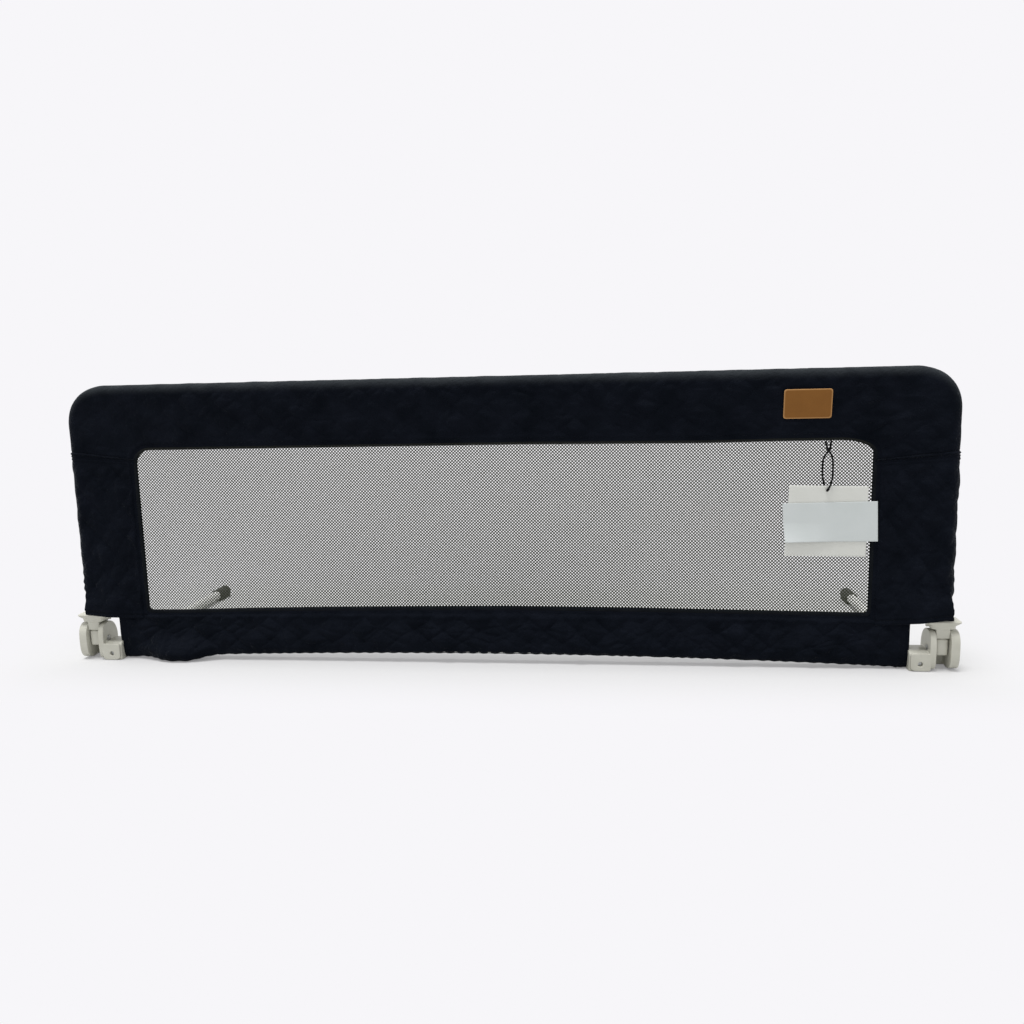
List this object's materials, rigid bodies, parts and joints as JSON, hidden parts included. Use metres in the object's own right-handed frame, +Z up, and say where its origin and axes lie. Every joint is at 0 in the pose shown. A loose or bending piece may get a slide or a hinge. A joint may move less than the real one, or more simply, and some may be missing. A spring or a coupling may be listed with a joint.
{
  "type": "folding bed guard rail",
  "caption": "Folding bed guard rail: tube frame in a quilted cover with a mesh window, on hinge brackets with under-mattress legs.",
  "frame": {"origin": "on the surface that the rail stands on, under the middle of its length and depth", "axes": "+X along the rail to the right seen from the room, +Y towards the bed, +Z up"},
  "size_m": [1.532, 0.477, 0.4952],
  "materials": {
    "white_plastic": "satin moulded",
    "painted_steel": "satin powder coat",
    "zinc_steel": "zinc plated",
    "black_rubber": "matte",
    "navy_quilt": "quilted woven",
    "navy_binding": "woven tape",
    "grey_mesh": "open knitted mesh",
    "tan_leather": "smooth grain",
    "black_string": "twisted cord",
    "white_card": "coated card"
  },
  "bodies": {
    "base": {"left_bracket": "white_plastic", "right_bracket": "white_plastic", "left_pivot_pin": "zinc_steel", "right_pivot_pin": "zinc_steel", "left_pivot_nut": "white_plastic", "right_pivot_nut": "white_plastic", "lower_rail_left": "painted_steel", "lower_rail_right": "painted_steel", "left_rail_screw": "zinc_steel", "right_rail_screw": "zinc_steel", "left_leg": "painted_steel", "right_leg": "painted_steel", "left_leg_screw": "zinc_steel", "right_leg_screw": "zinc_steel", "left_leg_foot": "black_rubber", "right_leg_foot": "black_rubber", "lower_rail_joiner": "painted_steel", "cover_hem": "navy_quilt"},
    "guard": {"left_frame_tube": "painted_steel", "right_frame_tube": "painted_steel", "left_knuckle": "white_plastic", "right_knuckle": "white_plastic", "left_knuckle_screw": "zinc_steel", "right_knuckle_screw": "zinc_steel", "left_lock_spring": "zinc_steel", "right_lock_spring": "zinc_steel", "top_joiner": "painted_steel", "cover_top": "navy_quilt", "cover_left": "navy_quilt", "cover_right": "navy_quilt", "cover_band": "navy_quilt", "window_binding": "navy_binding", "window_mesh": "grey_mesh", "leather_patch": "tan_leather"},
    "left_lock": {"left_lock_collar": "white_plastic"},
    "right_lock": {"right_lock_collar": "white_plastic"},
    "tag": {"tag_string": "black_string", "tag_card": "white_card", "tag_label": "white_card"}
  },
  "joints": [
    {"name": "guard_fold", "type": "hinge", "parent": "base", "child": "guard", "pos_m": [0, -0.2205, 0.036], "axis": [1, 0, 0], "range_deg": [0, 180]},
    {"name": "left_lock_lift", "type": "slide", "parent": "guard", "child": "left_lock", "axis": [0, 0, 1], "range_m": [0, 0.012], "stiffness_N_per_m": 500, "springref_m": -0.01, "deforming": ["left_lock_spring"]},
    {"name": "right_lock_lift", "type": "slide", "parent": "guard", "child": "right_lock", "axis": [0, 0, 1], "range_m": [0, 0.012], "stiffness_N_per_m": 500, "springref_m": -0.01, "deforming": ["right_lock_spring"]},
    {"name": "tag_swing", "type": "hinge", "parent": "guard", "child": "tag", "pos_m": [0.5455, -0.2184, 0.3784], "axis": [-1, 0, 0], "range_deg": [0, 60]}
  ]
}
